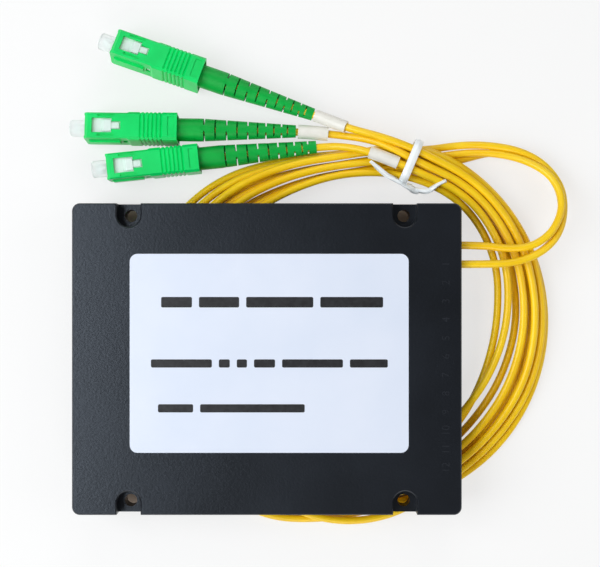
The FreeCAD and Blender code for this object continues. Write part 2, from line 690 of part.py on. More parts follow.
def window_cuts():
    """Window with its latch slot, the grooves beside it and the pad at the rear."""
    top = HOUSING_HEIGHT / 2
    window_end = WINDOW_START + WINDOW_LENGTH
    cuts = both_faces(box(WINDOW_START, window_end, -WINDOW_WIDTH / 2, WINDOW_WIDTH / 2, 0, top + 1))
    cuts += both_faces(box(window_end - 0.1, window_end + LATCH_SLOT_LENGTH, -LATCH_SLOT_WIDTH / 2,
                           LATCH_SLOT_WIDTH / 2, 0, top + 1))
    for y in (-FLANK_OUTER, FLANK_OUTER - FLANK_WIDTH):
        cuts += both_faces(box(FLANK_START, FLANK_END, y, y + FLANK_WIDTH, top - GROOVE_DEPTH, top + 1))
    cuts += both_faces(box(PAD_START, PAD_START + PAD_LENGTH, -PAD_WIDTH / 2, PAD_WIDTH / 2,
                           top - PAD_DEPTH, top + 1))
    return cuts


def key_rail():
    """Key on the -Y side, with a ramp at its front."""
    face = -HOUSING_WIDTH / 2 + WAIST_STEP
    outline = [(KEY_START, face + 0.1), (KEY_START + KEY_HEIGHT, face - KEY_HEIGHT),
               (KEY_END, face - KEY_HEIGHT), (KEY_END, face + 0.1)]
    return prism([(x, y, -KEY_WIDTH / 2) for x, y in outline], (0, 0, KEY_WIDTH))


def outer_housing():
    solid = join([housing_body(), key_rail()])
    bore = bar(-1, HOUSING_LENGTH + 1, HOUSING_BORE_WIDTH, HOUSING_BORE_HEIGHT, 0.3)
    pocket_width = HOUSING_WIDTH - 2 * REAR_POCKET_WALL
    pocket_height = HOUSING_HEIGHT - 2 * REAR_POCKET_WALL
    pocket = bar(HOUSING_LENGTH - REAR_POCKET, HOUSING_LENGTH + 1, pocket_width, pocket_height, HOUSING_CHAMFER)
    key_hole = box(KEY_HOLE_START, KEY_HOLE_START + KEY_HOLE_LENGTH, -HOUSING_WIDTH, 0,
                   -KEY_WIDTH / 2, KEY_WIDTH / 2)
    return solid.cut([bore, pocket, key_hole] + window_cuts() + grip_grooves())


def plug_frame():
    width = HOUSING_BORE_WIDTH - 2 * SLIDE_CLEARANCE
    height = HOUSING_BORE_HEIGHT - 2 * SLIDE_CLEARANCE
    top = height / 2
    ramp = [(LATCH_START, top - 0.1), (LATCH_START + 2 * LATCH_HEIGHT, top + LATCH_HEIGHT),
            (LATCH_END, top + LATCH_HEIGHT), (LATCH_END, top - 0.1)]
    latch = prism([(x, -LATCH_WIDTH / 2, z) for x, z in ramp], (0, LATCH_WIDTH, 0))
    rib = box(LATCH_END - 0.1, WINDOW_START + WINDOW_LENGTH + LATCH_SLOT_LENGTH - 0.4,
              -LATCH_RIB_WIDTH / 2, LATCH_RIB_WIDTH / 2, top - 0.1, top + LATCH_RIB_HEIGHT)
    body = join([bar(FRAME_START, FRAME_END, width, height, FRAME_CHAMFER)] + both_faces(latch) + both_faces(rib))
    tab_slot = box(BACKPOST_START - SLIDE_CLEARANCE, BACKPOST_START + 1.2, -width, width, -1.4, 1.4)
    cuts = [
        x_rod(MOUTH_BORE, FRAME_START - 1, MOUTH_END),
        x_rod(FERRULE_DIAMETER + 2 * RUNNING_CLEARANCE, MOUTH_END - 1, CHAMBER_START + 1),
        x_rod(CHAMBER_BORE, CHAMBER_START, FRAME_END + 1),
        tab_slot,
    ]
    return body.cut(cuts)


def ferrule():
    """Ceramic ferrule with a small cone and the slanted, angle-polished end."""
    radius = FERRULE_DIAMETER / 2
    body = turned([(FERRULE_TIP, 0), (FERRULE_TIP, radius - FERRULE_CONE),
                   (FERRULE_TIP + 2 * FERRULE_CONE, radius), (FERRULE_END, radius), (FERRULE_END, 0)])
    lean = math.tan(math.radians(CHIP_ANGLE)) * radius
    wedge = prism([(FERRULE_TIP - 1, -radius, -radius), (FERRULE_TIP + lean, -radius, -radius),
                   (FERRULE_TIP - lean * 0.2, -radius, radius), (FERRULE_TIP - 1, -radius, radius)],
                  (0, 2 * radius, 0))
    return body.cut(wedge)


def ferrule_flange():
    """Rim that rests on the guide wall and the tube behind it that guides the spring."""
    ferrule_r = FERRULE_DIAMETER / 2
    tail_end = FLANGE_END + FLANGE_TAIL
    return turned([
        (FLANGE_START, ferrule_r), (FLANGE_START, FLANGE_DIAMETER / 2 - FLANGE_NOSE),
        (FLANGE_START + FLANGE_NOSE, FLANGE_DIAMETER / 2), (FLANGE_END, FLANGE_DIAMETER / 2),
        (FLANGE_END, FLANGE_TAIL_DIAMETER / 2 + 0.2), (FERRULE_END + 0.5, FLANGE_TAIL_DIAMETER / 2),
        (tail_end, FLANGE_TAIL_DIAMETER / 2), (tail_end, FIBRE_BORE / 2),
        (FERRULE_END, FIBRE_BORE / 2), (FERRULE_END, ferrule_r)])


def ferrule_spring():
    """Compression spring between the flange's rim and the backpost."""
    start = FLANGE_END + SPRING_WIRE / 2 + FLANGE_GAP
    end = BACKPOST_START - SPRING_WIRE / 2 - FLANGE_GAP
    radius = (CHAMBER_BORE - SPRING_WIRE) / 2 - 0.25
    helix = Part.makeHelix((end - start) / SPRING_TURNS, end - start, radius)
    corners = [math.radians(22.5 + 45 * i) for i in range(8)]
    ring = [V(radius + SPRING_WIRE / 2 * math.cos(a), 0, SPRING_WIRE / 2 * math.sin(a)) for a in corners]
    section = Part.makePolygon(ring + ring[:1])
    spring = Part.Wire(helix).makePipeShell([section], True, True)
    spring.rotate(V(), V(0, 1, 0), 90)
    return spring.translated(V(start, 0, 0))


def backpost():
    """Stop ring: plug in the frame, shoulder behind it and the crimp barrel."""
    nose = CHAMBER_BORE / 2 - FLANGE_GAP
    shoulder = FRAME_END + FLANGE_GAP
    width = HOUSING_BORE_WIDTH - 4 * SLIDE_CLEARANCE
    height = HOUSING_BORE_HEIGHT - 4 * SLIDE_CLEARANCE
    tab = box(BACKPOST_START, BACKPOST_START + 1.1, -width / 2, width / 2, -1.3, 1.3)
    body = join([
        x_rod(2 * nose, BACKPOST_START, shoulder + 0.1),
        tab,
        bar(shoulder, shoulder + BACKPOST_SHOULDER, width, height, FRAME_CHAMFER),
        x_rod(BARREL_DIAMETER, shoulder, BACKPOST_END),
    ])
    entry = FLANGE_TAIL_DIAMETER + 4 * RUNNING_CLEARANCE
    return body.cut([x_rod(BACKPOST_BORE, BACKPOST_START - 1, BACKPOST_END + 1),
                     x_rod(entry, BACKPOST_START - 1, BACKPOST_START + 1.6)])


def crimp_ring():
    """Metal ring: wide over the barrel, narrow over the cable."""
    wide = BARREL_DIAMETER / 2 + RUNNING_CLEARANCE
    tight = CABLE_DIAMETER / 2 + 2 * RUNNING_CLEARANCE
    return turned([
        (CRIMP_START, wide), (CRIMP_START, wide + CRIMP_WALL), (CRIMP_STEP, wide + CRIMP_WALL),
        (CRIMP_STEP + CRIMP_WALL, tight + CRIMP_WALL), (CRIMP_END, tight + CRIMP_WALL),
        (CRIMP_END, tight), (CRIMP_STEP, tight), (CRIMP_STEP - CRIMP_WALL, wide)])


def boot_slots():
    """Pairs of slots that alternate between the sides and the top and bottom."""
    cuts, x = [], BOOT_FIRST_SLOT
    for i, step in enumerate(BOOT_SLOT_STEPS + [0.0]):
        reach = BOOT_DIAMETER
        slot = box(x, x + BOOT_SLOT, -reach, reach, BOOT_WEB, reach)
        quarter = 90 if i % 2 else 0
        cuts += both_faces(slot.rotated(V(), V(1, 0, 0), quarter))
        x += step
    return cuts


def boot():
    crimp_r = BARREL_DIAMETER / 2 + RUNNING_CLEARANCE + CRIMP_WALL + RUNNING_CLEARANCE
    cable_crimp_r = CABLE_DIAMETER / 2 + 2 * RUNNING_CLEARANCE + CRIMP_WALL + RUNNING_CLEARANCE
    tip_r = BOOT_TIP_BORE / 2
    body = turned([
        (BOOT_START, crimp_r), (BOOT_START, BOOT_COLLAR / 2), (BOOT_SHOULDER, BOOT_COLLAR / 2),
        (BOOT_SHOULDER, BOOT_DIAMETER / 2), (BOOT_PLAIN, BOOT_DIAMETER / 2), (BOOT_END, BOOT_TIP / 2),
        (BOOT_END, tip_r), (CRIMP_END + 1, tip_r), (CRIMP_END, cable_crimp_r),
        (CRIMP_STEP + 2 * CRIMP_WALL, cable_crimp_r), (CRIMP_STEP + CRIMP_WALL, crimp_r)])
    return body.cut(boot_slots())


def dust_cap():
    """Clear cap that pushes on the ferrule."""
    bore = FERRULE_DIAMETER / 2 + CAP_FIT
    radius = CAP_DIAMETER / 2
    return turned([
        (CAP_FRONT, 0), (CAP_FRONT, radius - 0.4), (CAP_FRONT + 0.4, radius), (CAP_REAR, radius),
        (CAP_REAR, bore), (CAP_FRONT + CAP_WALL, bore), (CAP_FRONT + CAP_WALL, 0)])


def axis_height(roll):
    """Height of a rolled connector's axis when its lowest edge is on the table."""
    w, h, c = HOUSING_WIDTH / 2, HOUSING_HEIGHT / 2, HOUSING_CHAMFER
    angle = math.radians(roll)
    corners = [(y, z) for y, z in ((w - c, h), (w, h - c), (c - w, h), (-w, h - c))]
    return TABLE + max(abs(z * math.cos(angle)) + abs(y * math.sin(angle)) for y, z in corners)


def connector_placement(place, heading, roll):
    turn = FreeCAD.Rotation(V(0, 0, 1), heading).multiply(FreeCAD.Rotation(V(1, 0, 0), roll))
    rear = V(place[0], place[1], axis_height(roll))
    return FreeCAD.Placement(rear - turn.multVec(V(HOUSING_LENGTH, 0, 0)), turn)


def connector_pieces():
    """One connector in its own frame."""
    return {
        "outer_housing": outer_housing(),
        "plug_frame": plug_frame(),
        "ferrule": ferrule(),
        "ferrule_flange": ferrule_flange(),
        "ferrule_spring": ferrule_spring(),
        "backpost": backpost(),
        "crimp_ring": crimp_ring(),
        "boot": boot(),
        "dust_cap": dust_cap(),
    }


def tail_route(placement, points):
    """Cable from the crimp ring along the boot's axis and on through the chosen points."""
    start = placement.multVec(V(CRIMP_STEP + 1, 0, 0))
    return [tuple(start)] + points


def sleeve_route(route, start, length):
    """Part of a cable's centre line that the marker sleeve covers."""
    path = rounded_path(route, CABLE_DIAMETER, "sleeve")
    first = BOOT_END - CRIMP_STEP - 1 + start
    lengths = [first + length * i / 3 for i in range(4)]
    return [path_point(path, s) for s in lengths]


def path_point(path, distance):
    for edge in path.OrderedEdges:
        if distance <= edge.Length:
            return tuple(edge.valueAt(edge.getParameterByLength(distance)))
        distance -= edge.Length
    raise ValueError("the sleeve lies past the end of its cable")


def marker_sleeve(route, start, length, diameter):
    points = sleeve_route(route, start, length)
    bore = CABLE_DIAMETER + 2 * SLEEVE_CLEARANCE
    return pipe(points, diameter, "marker sleeve").cut(pipe(points, bore, "marker bore"))


# ---- Whole part -------------------------------------------------------------
def build():
    nodes = {"case_base": case_base(), "case_cover": case_cover(), "label": label()}
    nodes.update(splitter_pieces())
    nodes.update(fibre_pieces())
    nodes["cable_coil"] = cable_coil()
    nodes["wire_tie"] = wire_tie()
    pieces = connector_pieces()
    for i, place in enumerate(HOUSING_PLACES):
        number = i + 1
        placement = connector_placement(place, HEADING_ANGLES[i], ROLL_ANGLES[i])
        for name, shape in pieces.items():
            moved = shape.rotated(V(), V(1, 0, 0), BOOT_TURN_ANGLES[i] if name == "boot" else 0)
            moved.Placement = placement.multiply(moved.Placement)
            nodes["%s_%d" % (name, number)] = moved
        lead, route = lead_route(i), tail_route(placement, TAILS[i])
        nodes["cable_anchor_%d" % number] = cable_anchor(lead)
        nodes["cable_lead_%d" % number] = pipe(lead, CABLE_DIAMETER, "lead %d" % number)
        nodes["cable_tail_%d" % number] = pipe(route, CABLE_DIAMETER, "tail %d" % number)
        nodes["marker_sleeve_%d" % number] = marker_sleeve(route, *SLEEVES[i])
    return nodes


def main():
    os.makedirs("parts", exist_ok=True)
    for name, shape in build().items():
        shape.exportStep("parts/%s.step" % name)
        print("%-20s solids %d valid %s volume %.2f" % (name, len(shape.Solids), shape.isValid(), shape.Volume))


main()
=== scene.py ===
import bmesh
import bpy
import math
from mathutils import Matrix, Vector


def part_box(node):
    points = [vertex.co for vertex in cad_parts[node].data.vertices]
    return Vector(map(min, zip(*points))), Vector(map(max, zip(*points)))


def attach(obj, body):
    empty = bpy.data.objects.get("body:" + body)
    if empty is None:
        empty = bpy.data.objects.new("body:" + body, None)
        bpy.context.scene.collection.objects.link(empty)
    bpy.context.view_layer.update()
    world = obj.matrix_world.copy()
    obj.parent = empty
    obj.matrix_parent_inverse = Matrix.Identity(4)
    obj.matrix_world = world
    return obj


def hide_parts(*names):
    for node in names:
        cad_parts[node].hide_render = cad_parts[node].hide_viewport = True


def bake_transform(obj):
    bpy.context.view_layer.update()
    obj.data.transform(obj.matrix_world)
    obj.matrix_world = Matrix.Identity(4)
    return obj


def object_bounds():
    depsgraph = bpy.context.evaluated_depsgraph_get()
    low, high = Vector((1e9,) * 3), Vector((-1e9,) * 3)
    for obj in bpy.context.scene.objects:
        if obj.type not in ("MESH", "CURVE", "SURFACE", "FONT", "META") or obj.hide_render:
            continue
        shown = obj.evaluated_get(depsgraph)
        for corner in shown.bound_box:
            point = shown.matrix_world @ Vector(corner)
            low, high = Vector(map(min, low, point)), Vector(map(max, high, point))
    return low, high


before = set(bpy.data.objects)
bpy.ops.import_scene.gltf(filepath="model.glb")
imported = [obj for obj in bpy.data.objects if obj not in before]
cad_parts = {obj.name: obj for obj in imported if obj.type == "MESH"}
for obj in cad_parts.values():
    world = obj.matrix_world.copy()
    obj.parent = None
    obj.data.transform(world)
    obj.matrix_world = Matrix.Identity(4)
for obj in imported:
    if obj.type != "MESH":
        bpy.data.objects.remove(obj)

cad_low, cad_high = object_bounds()
ROOT = "case_and_cables"
MM = 0.001
scene = bpy.context.scene


def link(obj, body=None):
    """Put an object into the scene, and on its body where one is given."""
    scene.collection.objects.link(obj)
    if body:
        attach(obj, body)
    return obj


# ---- Camera ------------------------------------------------------------------
SENSOR_WIDTH = 36.0
FOCAL_LENGTH = 74.88
CAMERA_PLACE = (0.0085, 0.0194, 0.325)

camera = bpy.data.objects.new("camera", bpy.data.cameras.new("camera"))
link(camera)
camera.data.sensor_width = SENSOR_WIDTH
camera.data.lens = FOCAL_LENGTH
camera.data.clip_start = 0.01
camera.data.clip_end = 5.0
camera.location = CAMERA_PLACE
camera.rotation_euler = (0.0, 0.0, 0.0)
scene.camera = camera

# ---- Cords -------------------------------------------------------------------
# in mm
CABLE_DIAMETER = 2.0
CABLE_RADIUS = CABLE_DIAMETER / 2
COIL_CENTRE = (18.0, 5.0)
# angle in degrees, inner radius and outer radius of the coil, the same as in the CAD
COIL_RING = [(0, 41.5, 57.6), (22, 45.8, 58.2), (44, 48.0, 58.0), (67, 45.2, 56.7), (88, 42.2, 48.6),
             (112, 39.2, 49.0), (140, 38.6, 52.2), (180, 39.0, 53.2), (225, 38.0, 51.2),
             (265, 37.4, 49.8), (300, 36.6, 53.2), (334, 37.8, 56.8)]
TIE_ANGLE = 67.0
# degrees between two points of a cord, and where the coil's turns start and end
COIL_STEP = 20.0
COIL_START = 87
COIL_END = 1127
# each turn lies on the one before it: height of a turn, and the angles where a cord climbs on to the next
LAYER = 2.0
BOTTOM = -10.0
LAYER_ANGLE = 40
CLIMB_START = 320
CLIMB_SPAN = 75.0
# the cords rise a little where the tie gathers them, over this many degrees on each side
TIE_LIFT = 0.95
TIE_LIFT_SPAN = 22.0


def ease(t):
    """Smooth step from 0 to 1."""
    t = min(max(t, 0.0), 1.0)
    return t * t * (3 - 2 * t)


def keyed(keys, x):
    """Value at x between (x, value) pairs, eased from one to the next."""
    if x <= keys[0][0]:
        return keys[0][1]
    for (x0, v0), (x1, v1) in zip(keys, keys[1:]):
        if x <= x1:
            return v0 + (v1 - v0) * ease((x - x0) / (x1 - x0))
    return keys[-1][1]


def ring(angle, column):
    """Inner (column 1) or outer (column 2) radius of the coil, on a closed cubic through the rows."""
    angle %= 360
    i = max(k for k, row in enumerate(COIL_RING) if row[0] <= angle)
    before, here, after, later = (COIL_RING[(i + k) % len(COIL_RING)] for k in (-1, 0, 1, 2))
    x1 = here[0]
    x0 = before[0] - (360 if before[0] > x1 else 0)
    x2 = after[0] + (360 if after[0] < x1 else 0)
    x3 = later[0] + (360 if later[0] < x1 else 0)
    y0, y1, y2, y3 = (row[column] for row in (before, here, after, later))
    slope_here = (y2 - y0) / (x2 - x0)
    slope_after = (y3 - y1) / (x3 - x1)
    span = x2 - x1
    t = (angle - x1) / span
    return ((2 * t**3 - 3 * t**2 + 1) * y1 + (t**3 - 2 * t**2 + t) * span * slope_here
            + (3 * t**2 - 2 * t**3) * y2 + (t**3 - t**2) * span * slope_after)


# where each cord runs across the coil: an angle that counts on through the turns, and a share of the
# way from the coil's inner edge, 0, to its outer edge, 1; a strand past them bulges out of the coil
SLOTS = [
    [(67, 1.0), (85, 1.2), (112, 1.2), (137, 1.27), (150, 1.15), (178, 0.66), (215, 0.74), (240, 1.3),
     (250, 1.22), (266, 0.95), (288, 0.68), (320, 0.82), (340, 0.87), (360, 0.96), (404, 1.0),
     (427, 0.98), (446, 1.05), (472, 1.05), (497, 1.02), (512, 0.9), (535, 0.58), (600, 0.54),
     (620, 0.92), (632, 1.02), (645, 0.92), (665, 0.66), (685, 0.7), (700, 0.78), (720, 0.88),
     (750, 0.95), (787, 0.9), (806, 1.0), (832, 0.92), (857, 0.76), (885, 0.5), (1010, 0.46),
     (1045, 0.56), (1065, 0.66), (1080, 0.7), (1124, 0.78), (1147, 0.8)],
    [(67, 0.62), (85, 0.6), (112, 0.66), (137, 0.86), (155, 0.76), (178, 0.44), (225, 0.42),
     (285, 0.46), (320, 0.5), (340, 0.6), (360, 0.71), (404, 0.66), (427, 0.62), (446, 0.55),
     (472, 0.56), (497, 0.6), (512, 0.52), (535, 0.35), (650, 0.38), (690, 0.48), (725, 0.52),
     (787, 0.46), (806, 0.5), (832, 0.5), (857, 0.42), (885, 0.3), (1010, 0.27), (1045, 0.38),
     (1080, 0.47), (1124, 0.52), (1147, 0.55)],
    [(67, 0.3), (85, 0.1), (112, 0.2), (137, 0.34), (155, 0.3), (178, 0.2), (285, 0.22), (320, 0.24),
     (340, 0.3), (360, 0.37), (404, 0.34), (427, 0.3), (446, 0.04), (472, 0.06), (497, 0.2), (512, 0.2),
     (535, 0.14), (650, 0.14), (690, 0.08), (725, -0.07), (787, 0.05), (806, 0.0), (832, 0.0),
     (857, 0.0), (885, 0.1), (1010, 0.07), (1045, 0.0), (1080, 0.12), (1124, 0.24), (1147, 0.28)],
]


def coil_point(slots, angle):
    """Control point of a cord's curve; it stands a little outside, so that the curve keeps the radius."""
    inner = ring(angle, 1) + CABLE_RADIUS
    outer = ring(angle, 2) - CABLE_RADIUS
    radius = (inner + keyed(slots, angle) * (outer - inner)) / math.cos(math.radians(COIL_STEP / 2))
    turn = math.floor((angle - LAYER_ANGLE) / 360)
    climb = ease((angle - 360 * turn - CLIMB_START) / CLIMB_SPAN)
    from_tie = abs((angle - TIE_ANGLE + 180) % 360 - 180)
    z = BOTTOM + LAYER * (turn + climb) + TIE_LIFT * ease(1 - from_tie / TIE_LIFT_SPAN)
    bearing = math.radians(angle)
    return (COIL_CENTRE[0] + radius * math.cos(bearing), COIL_CENTRE[1] + radius * math.sin(bearing), z)


# for each pigtail: its exit, the points of its lead and those of its tail
PIGTAILS = [
    ((50.0, 24.4, 1.3),
     [(44.0, 24.4, 1.3), (56.0, 24.4, 1.3), (63.2, 24.6, 0.9), (69.2, 26.3, 0.0), (74.0, 29.4, -1.1),
      (76.9, 33.6, -2.1), (78.05, 39.0, -3.2), (77.7, 44.2, -4.5), (75.5, 48.5, -5.8),
      (72.0, 52.2, -6.9), (66.5, 54.9, -7.4), (60.0, 56.1, -7.6), (53.8, 56.4, -7.8),
      (48.2, 56.0, -8.8), (42.8, 55.2, -9.4)],
     [(38.9, 54.7, -2.9), (30.3, 57.8, -2.2), (21.4, 60.2, -3.5), (12.9, 63.87, -5.95)]),
    ((50.0, 29.4, 0.0),
     [(44.0, 29.4, 0.0), (56.0, 29.4, 0.0), (62.5, 28.4, 0.1), (68.6, 28.9, 0.3), (73.4, 31.9, 0.1),
      (76.0, 35.9, -0.5), (77.1, 40.0, -1.4), (76.7, 44.0, -2.6), (74.6, 47.8, -4.1),
      (71.0, 50.7, -5.5), (65.8, 53.0, -6.9), (59.6, 54.2, -7.9), (53.6, 54.3, -8.3),
      (46.8, 53.6, -9.3), (40.6, 52.6, -9.4)],
     [(37.9, 52.2, -2.9), (34.2, 54.3, -3.0), (27.4, 57.4, -4.2), (18.3, 58.9, -6.5),
      (8.9, 59.74, -6.3)]),
    ((50.0, 24.4, -1.3),
     [(44.0, 24.4, -1.3), (56.0, 24.4, -1.3), (63.2, 24.6, -1.5), (69.2, 26.2, -2.2),
      (74.0, 29.3, -3.3), (76.9, 33.5, -4.5), (78.0, 39.0, -5.8), (77.6, 44.1, -7.2),
      (75.4, 48.3, -8.6), (71.7, 51.8, -9.6), (66.3, 54.2, -10.0), (60.0, 54.7, -10.0),
      (54.0, 53.2, -10.0), (47.6, 51.4, -9.9), (41.4, 50.6, -9.4)],
     [(36.9, 49.9, -2.9), (35.0, 50.9, -3.0), (26.4, 54.2, -3.1), (20.2, 55.6, -4.9),
      (13.8, 55.75, -6.4)]),
]


def centre(node):
    """Middle of a node's box."""
    low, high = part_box(node)
    return (low + high) / 2


# for each connector: the middle of its housing's rear end in mm, then in degrees the heading of its
# axis towards the cable and its roll
CONNECTORS = {
    1: ((-17.5, 74.4), -19.1, -12.0),
    2: ((-23.8, 60.2), -0.8, -6.0),
    3: ((-18.2, 52.5), 5.8, 0.0),
}
HOUSING_LENGTH = 24.4
# where the cord ends inside the connector, from the housing's front
CORD_END = 27.5


def connector_frame(number):
    """Matrix from the connector's own frame (millimetres, +X towards the cable) to the row frame."""
    place, heading, roll = CONNECTORS[number]
    crimp = centre("crimp_ring_%d" % number)
    turn = Matrix.Rotation(math.radians(heading), 4, "Z") @ Matrix.Rotation(math.radians(roll), 4, "X")
    rear = Vector((place[0] * MM, place[1] * MM, crimp.z))
    return Matrix.Translation(rear) @ turn @ Matrix.Scale(MM, 4) @ Matrix.Translation((-HOUSING_LENGTH, 0, 0))


def cord_object(name, points):
    """Round cable on a smooth NURBS line along control points in metres."""
    curve = bpy.data.curves.new(name, "CURVE")
    curve.dimensions = "3D"
    # the points' own radius scales this unit radius
    curve.bevel_depth = 1.0
    curve.bevel_resolution = 5
    curve.resolution_u = 10
    curve.use_fill_caps = True
    spline = curve.splines.new("NURBS")
    spline.points.add(len(points) - 1)
    for point, place in zip(spline.points, points):
        point.co = (*place, 1.0)
        point.radius = CABLE_RADIUS * MM
    spline.order_u = 3
    spline.use_endpoint_u = True
    return link(bpy.data.objects.new(name, curve), ROOT)


# ---- Materials ---------------------------------------------------------------
GLOSS_DRIFT = 0.06
COOL_GLOSS = (0.78, 0.87, 1.0, 1.0)


def surface(name, low, high, grain, roughness, relief=0.0, relief_grain=1500.0, **sockets):
    """Colour that drifts between two tones, with uneven gloss and a fine relief.

    The two grains are in 1/m and the relief is in mm.
    """
    material = bpy.data.materials.new(name)
    material.use_nodes = True
    nodes, links = material.node_tree.nodes, material.node_tree.links
    shader = nodes["Principled BSDF"]
    place = nodes.new("ShaderNodeTexCoord").outputs["Object"]

    def noise(scale, detail):
        node = nodes.new("ShaderNodeTexNoise")
        node.inputs["Scale"].default_value = scale
        node.inputs["Detail"].default_value = detail
        links.new(place, node.inputs["Vector"])
        return node.outputs[0]

    drift = noise(grain, 3.0)
    ramp = nodes.new("ShaderNodeValToRGB")
    for element, position, tone in zip(ramp.color_ramp.elements, (0.3, 0.7), (low, high)):
        element.position = position
        element.color = (*tone, 1)
    links.new(drift, ramp.inputs[0])
    links.new(ramp.outputs[0], shader.inputs["Base Color"])
    gloss = nodes.new("ShaderNodeMapRange")
    gloss.inputs["To Min"].default_value = roughness - GLOSS_DRIFT
    gloss.inputs["To Max"].default_value = roughness + GLOSS_DRIFT
    links.new(drift, gloss.inputs["Value"])
    links.new(gloss.outputs[0], shader.inputs["Roughness"])
    if relief:
        bump = nodes.new("ShaderNodeBump")
        bump.inputs["Strength"].default_value = 1.0
        bump.inputs["Distance"].default_value = relief * MM
        links.new(noise(relief_grain, 4.0), bump.inputs["Height"])
        links.new(bump.outputs[0], shader.inputs["Normal"])
    for socket, value in sockets.items():
        shader.inputs[socket.replace("_", " ")].default_value = value
    return material


case_black = surface("case_black", (0.002, 0.0025, 0.004), (0.003, 0.004, 0.007), 45, 0.33, 0.035, 1700,
                     Specular_IOR_Level=0.7, Specular_Tint=COOL_GLOSS)
number_grey = surface("number_grey", (0.006, 0.007, 0.010), (0.009, 0.010, 0.014), 300, 0.45, 0.01, 2600,
                      Specular_Tint=COOL_GLOSS)
label_film = surface("label_film", (0.68, 0.74, 0.87), (0.72, 0.77, 0.89), 60, 0.36, 0.004, 1800)
label_ink = surface("label_ink", (0.008, 0.008, 0.01), (0.02, 0.02, 0.024), 900, 0.4, 0.004, 2500)
jacket = surface("jacket", (0.93, 0.57, 0.005), (0.98, 0.66, 0.008), 120, 0.33, 0.006, 1200,
                 Specular_IOR_Level=0.45)
housing_green = surface("housing_green", (0.001, 0.62, 0.12), (0.002, 0.72, 0.15), 160, 0.34, 0.004, 1600,
                        Specular_IOR_Level=0.3)
boot_green = surface("boot_green", (0.0, 0.34, 0.042), (0.001, 0.42, 0.056), 200, 0.42, 0.006, 1500,
                     Specular_IOR_Level=0.25)
frame_white = surface("frame_white", (0.66, 0.80, 0.74), (0.74, 0.84, 0.80), 220, 0.32, 0.003, 1500)
sleeve_white = surface("sleeve_white", (0.78, 0.76, 0.69), (0.86, 0.84, 0.78), 260, 0.4, 0.01, 900)
tie_white = surface("tie_white", (0.88, 0.93, 0.95), (0.94, 0.97, 0.98), 300, 0.28, 0.006, 900)
ceramic = surface("ceramic", (0.84, 0.83, 0.78), (0.88, 0.87, 0.83), 300, 0.14, 0.001, 2500)
metal = surface("metal", (0.58, 0.58, 0.60), (0.68, 0.68, 0.70), 400, 0.28, 0.004, 2500, Metallic=1.0)
silica = surface("silica", (0.86, 0.93, 0.96), (0.92, 0.97, 0.98), 200, 0.08,
                 Transmission_Weight=0.9, IOR=1.46)
cap_clear = surface("cap_clear", (0.94, 1.0, 0.99), (0.98, 1.0, 1.0), 200, 0.30, 0.003, 1200,
                    Transmission_Weight=0.8, IOR=1.10)
seal_rubber = surface("seal_rubber", (0.30, 0.31, 0.33), (0.38, 0.39, 0.41), 500, 0.6, 0.01, 1500)
foam = surface("foam", (0.62, 0.62, 0.60), (0.74, 0.74, 0.71), 1500, 0.85, 0.06, 2500)
buffer = surface("buffer", (0.78, 0.78, 0.74), (0.86, 0.86, 0.83), 300, 0.3, 0.003, 1500)


def dress(material, *names):
    """Give pieces of the CAD a material in place of their own."""
    for name in names:
        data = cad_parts[name].data
        data.materials.clear()
        data.materials.append(material)


dress(case_black, "case_base", "case_cover")
dress(label_film, "label")
dress(metal, "splitter_housing")
dress(silica, "splitter_chip", "input_fibre_block", "output_fibre_block")
dress(seal_rubber, "input_end_seal", "output_end_seal")
dress(foam, "adhesive_pad")
dress(buffer, "fibre_input", "fibre_output_1", "fibre_output_2")
dress(tie_white, "wire_tie")
dress(jacket, "cable_coil")
ON_EACH_PIGTAIL = [
    (metal, ("backpost", "crimp_ring", "ferrule_flange", "ferrule_spring", "cable_anchor")),
    (housing_green, ("outer_housing",)),
    (boot_green, ("boot",)),
    (frame_white, ("plug_frame",)),
    (ceramic, ("ferrule",)),
    (cap_clear, ("dust_cap",)),
    (sleeve_white, ("marker_sleeve",)),
    (jacket, ("cable_lead", "cable_tail")),
]
for number in CONNECTORS:
    for material, names in ON_EACH_PIGTAIL:
        dress(material, *("%s_%d" % (name, number) for name in names))


# ---- Meshes made here --------------------------------------------------------
def mesh_object(name, bm, material, smooth=True):
    """Object on the case's body from a bmesh."""
    mesh = bpy.data.meshes.new(name)
    bmesh.ops.recalc_face_normals(bm, faces=bm.faces)
    bm.to_mesh(mesh)
    bm.free()
    mesh.materials.append(material)
    for face in mesh.polygons:
        face.use_smooth = smooth
    return link(bpy.data.objects.new(name, mesh), ROOT)


def rounded_outline(width, height, radii, steps=4):
    """Points round a rectangle with a round corner of its own radius in each quarter."""
    points = []
    quarters = ((1, 1), (-1, 1), (-1, -1), (1, -1))
    for corner, (radius, (sx, sy)) in enumerate(zip(radii, quarters)):
        for i in range(steps + 1):
            angle = math.radians(90 * corner + 90 * i / steps)
            points.append((sx * (width / 2 - radius) + radius * math.cos(angle),
                           sy * (height / 2 - radius) + radius * math.sin(angle)))
    return points


def sweep(bm, path, across, profile, closed=False):
    """Skin a flat profile along a path; across gives the profile's wide direction at each point."""
    rings = []
    count = len(path)
    for i, (point, wide) in enumerate(zip(path, across)):
        before = path[i - 1] if closed or i else path[i]
        after = path[(i + 1) % count] if closed or i < count - 1 else path[i]
        along = (after - before).normalized()
        flat = (wide - along * wide.dot(along)).normalized()
        thin = along.cross(flat)
        rings.append([bm.verts.new(point + (flat * u + thin * v)) for u, v in profile])
    following = rings[1:] + (rings[:1] if closed else [])
    for ring_a, ring_b in zip(rings, following):
        for j in range(len(profile)):
            k = (j + 1) % len(profile)
            bm.faces.new((ring_a[j], ring_a[k], ring_b[k], ring_b[j]))
    if not closed:
        bm.faces.new(rings[0])
        bm.faces.new(rings[-1])


